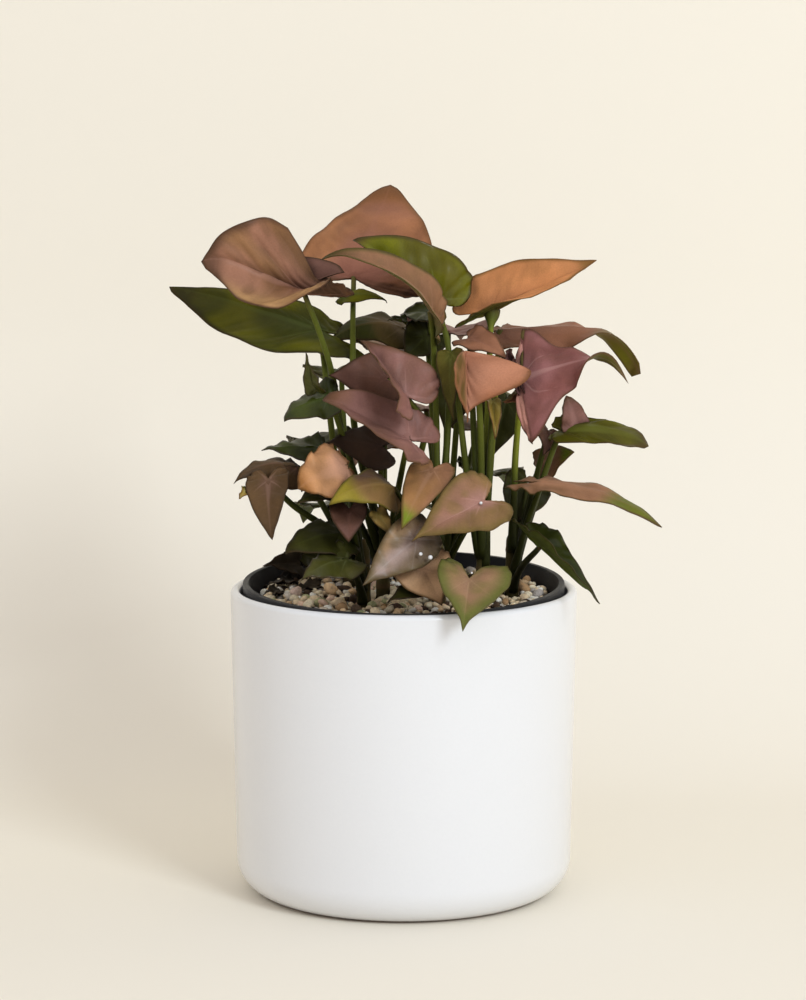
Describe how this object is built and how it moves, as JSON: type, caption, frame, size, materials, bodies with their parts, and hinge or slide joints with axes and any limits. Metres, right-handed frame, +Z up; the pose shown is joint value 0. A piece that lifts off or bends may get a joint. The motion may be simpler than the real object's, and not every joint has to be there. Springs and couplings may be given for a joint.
{
  "type": "potted arrowhead plant",
  "caption": "Arrowhead plant with arrow-shaped leaves on thin petioles, in a nursery pot with a pumice top dressing inside a round glazed cachepot.",
  "frame": {"origin": "centre of the cachepot's flat base", "axes": "+Z up along the cachepot's axis, -Y towards the front of the plant, +X to the right as seen from the front"},
  "size_m": [0.2112, 0.1865, 0.3043],
  "materials": {
    "white_glaze": "glossy white glaze",
    "black_plastic": "satin black",
    "potting_mix": "dark loose bark and peat mix",
    "pumice": "rough cream pumice grains",
    "arrowhead_leaf": "soft satin leaf, pink bronze and green"
  },
  "bodies": {
    "root": {"cachepot": "white_glaze", "nursery_pot": "black_plastic", "potting_mix": "potting_mix", "pumice_dressing": "pumice", "leafy_stem_left": "arrowhead_leaf", "leafy_stem_middle_left": "arrowhead_leaf", "leafy_stem_middle": "arrowhead_leaf", "leafy_stem_right": "arrowhead_leaf", "leafy_stem_far_right": "arrowhead_leaf", "leafy_stem_back_left": "arrowhead_leaf", "leafy_stem_back_right": "arrowhead_leaf"}
  },
  "joints": []
}
